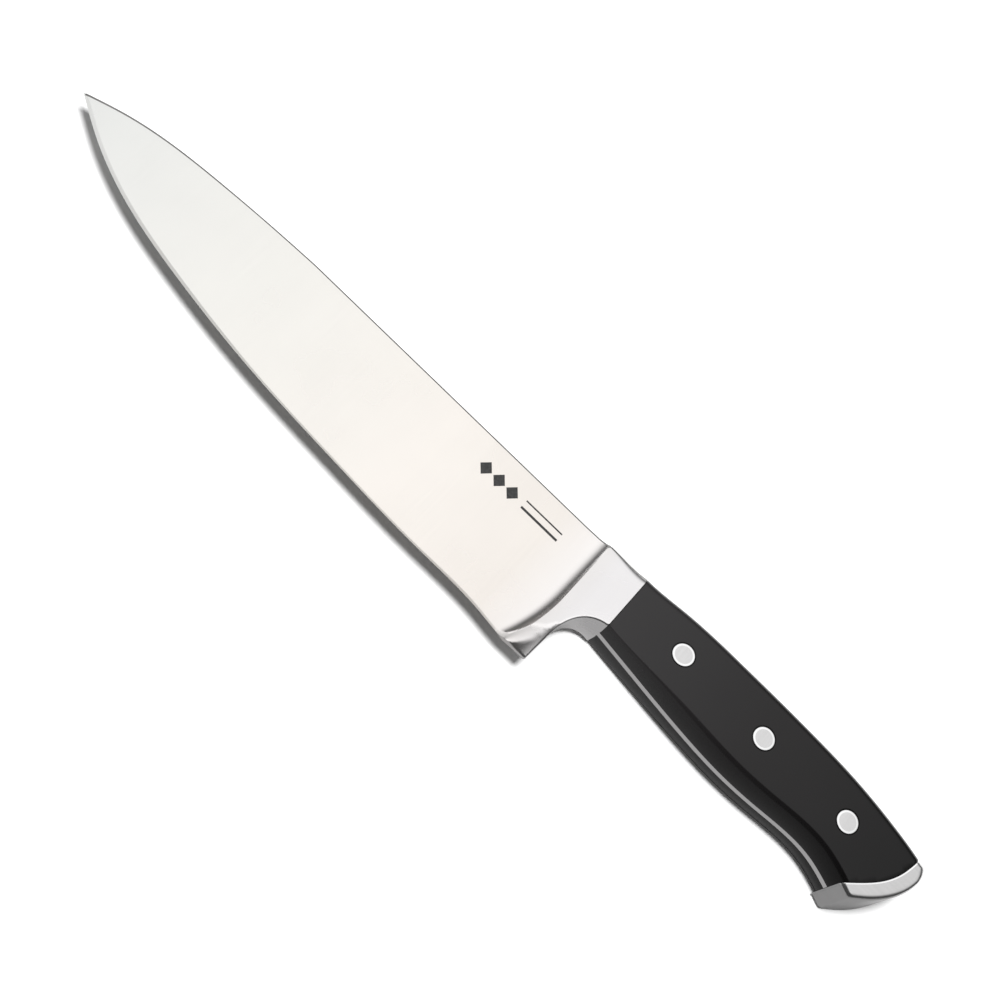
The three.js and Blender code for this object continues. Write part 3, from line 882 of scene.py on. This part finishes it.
def add_camera():
    right = Vector((1, 0, 0))
    up = Vector((0, math.cos(CAMERA_TILT), math.sin(CAMERA_TILT)))
    back = Vector((0, -math.sin(CAMERA_TILT), math.cos(CAMERA_TILT)))
    rolled_right = right * math.cos(CAMERA_ROLL) + up * math.sin(CAMERA_ROLL)
    rolled_up = up * math.cos(CAMERA_ROLL) - right * math.sin(CAMERA_ROLL)
    data = bpy.data.cameras.new("camera")
    data.lens = CAMERA_LENS
    camera = bpy.data.objects.new("camera", data)
    target = Vector(np.array(CAMERA_TARGET) * MM + HEEL)
    place = Matrix((rolled_right, rolled_up, back)).transposed().to_4x4()
    place.translation = target + back * CAMERA_DISTANCE * MM
    camera.matrix_world = place
    bpy.context.scene.collection.objects.link(camera)
    bpy.context.scene.camera = camera


def add_floor():
    """A white floor. Seen in reflections it is painted grey on the edge side, a painted shade in what the
    knife reflects.
    """
    z = cad_box[0].z - FLOOR_GAP * MM
    corners = [(x * FLOOR_SIZE, y * FLOOR_SIZE, z) for x, y in ((-1, -1), (1, -1), (1, 1), (-1, 1))]
    mesh = bpy.data.meshes.new("floor")
    mesh.from_pydata(corners, [], [(0, 1, 2, 3)])
    n = Nodes("floor_paint")
    reflected = n.node("ShaderNodeLightPath").outputs["Is Glossy Ray"]
    # Glossy rays see the floor painted grey on the edge side, a painted shade.
    reflected_shade = n.along("Y", (FLOOR_SHADE_SPAN[0], FLOOR_REFLECTED_SHADE), (FLOOR_SHADE_SPAN[1], FLOOR_WHITE))
    n.set(base_color=n.blend("MIX", reflected, (*FLOOR_WHITE, 1), reflected_shade), roughness=0.9)
    n.shader.inputs["Specular IOR Level"].default_value = 0.0
    mesh.materials.append(n.material)
    floor = bpy.data.objects.new("floor", mesh)
    bpy.context.scene.collection.objects.link(floor)


def add_lamp():
    """A round lamp high above, a little to the edge side. Its shadow keeps close to the knife."""
    lamp = bpy.data.lights.new("key", "POINT")
    lamp.energy = LAMP_POWER
    lamp.shadow_soft_size = LAMP_RADIUS * MM
    key = bpy.data.objects.new("key", lamp)
    key.location = np.array(LAMP_PLACE) * MM + HEEL
    key.visible_glossy = False
    bpy.context.scene.collection.objects.link(key)


def add_world():
    """One broad soft panel above the spine side, with dark surroundings. Diffuse light is even."""
    world = bpy.data.worlds.new("studio")
    world.use_nodes = True
    bpy.context.scene.world = world
    tree = world.node_tree
    tree.nodes.clear()

    def node(kind, inputs, output, **settings):
        made = tree.nodes.new(kind)
        for key, value in settings.items():
            setattr(made, key, value)
        for key, value in inputs.items():
            if isinstance(value, bpy.types.NodeSocket):
                tree.links.new(value, made.inputs[key])
            else:
                made.inputs[key].default_value = value
        return made.outputs[output]

    direction = node("ShaderNodeTexCoord", {}, "Generated")
    split = tree.nodes.new("ShaderNodeSeparateXYZ")
    tree.links.new(direction, split.inputs["Vector"])
    panel = None
    for axis, dark, bright in PANEL_EDGES:
        share = node("ShaderNodeMapRange", {
            "Value": split.outputs[axis], "From Min": dark, "From Max": bright,
        }, "Result", interpolation_type="SMOOTHSTEP")
        if panel is not None:
            share = node("ShaderNodeMath", {0: panel, 1: share}, "Value", operation="MULTIPLY")
        panel = share
    seen = node("ShaderNodeMapRange", {
        "Value": panel, "To Min": SURROUNDINGS, "To Max": PANEL_LIGHT,
    }, "Result")
    diffuse = node("ShaderNodeLightPath", {}, "Is Diffuse Ray")
    light = node("ShaderNodeMix", {"Factor": diffuse, "A": seen, "B": FILL_LIGHT}, "Result")
    background = tree.nodes.new("ShaderNodeBackground")
    tree.links.new(light, background.inputs["Color"])
    out = tree.nodes.new("ShaderNodeOutputWorld")
    tree.links.new(background.outputs["Background"], out.inputs["Surface"])
    bpy.context.scene.view_settings.view_transform = "Standard"


add_camera()
add_floor()
add_lamp()
add_world()
build_knife()
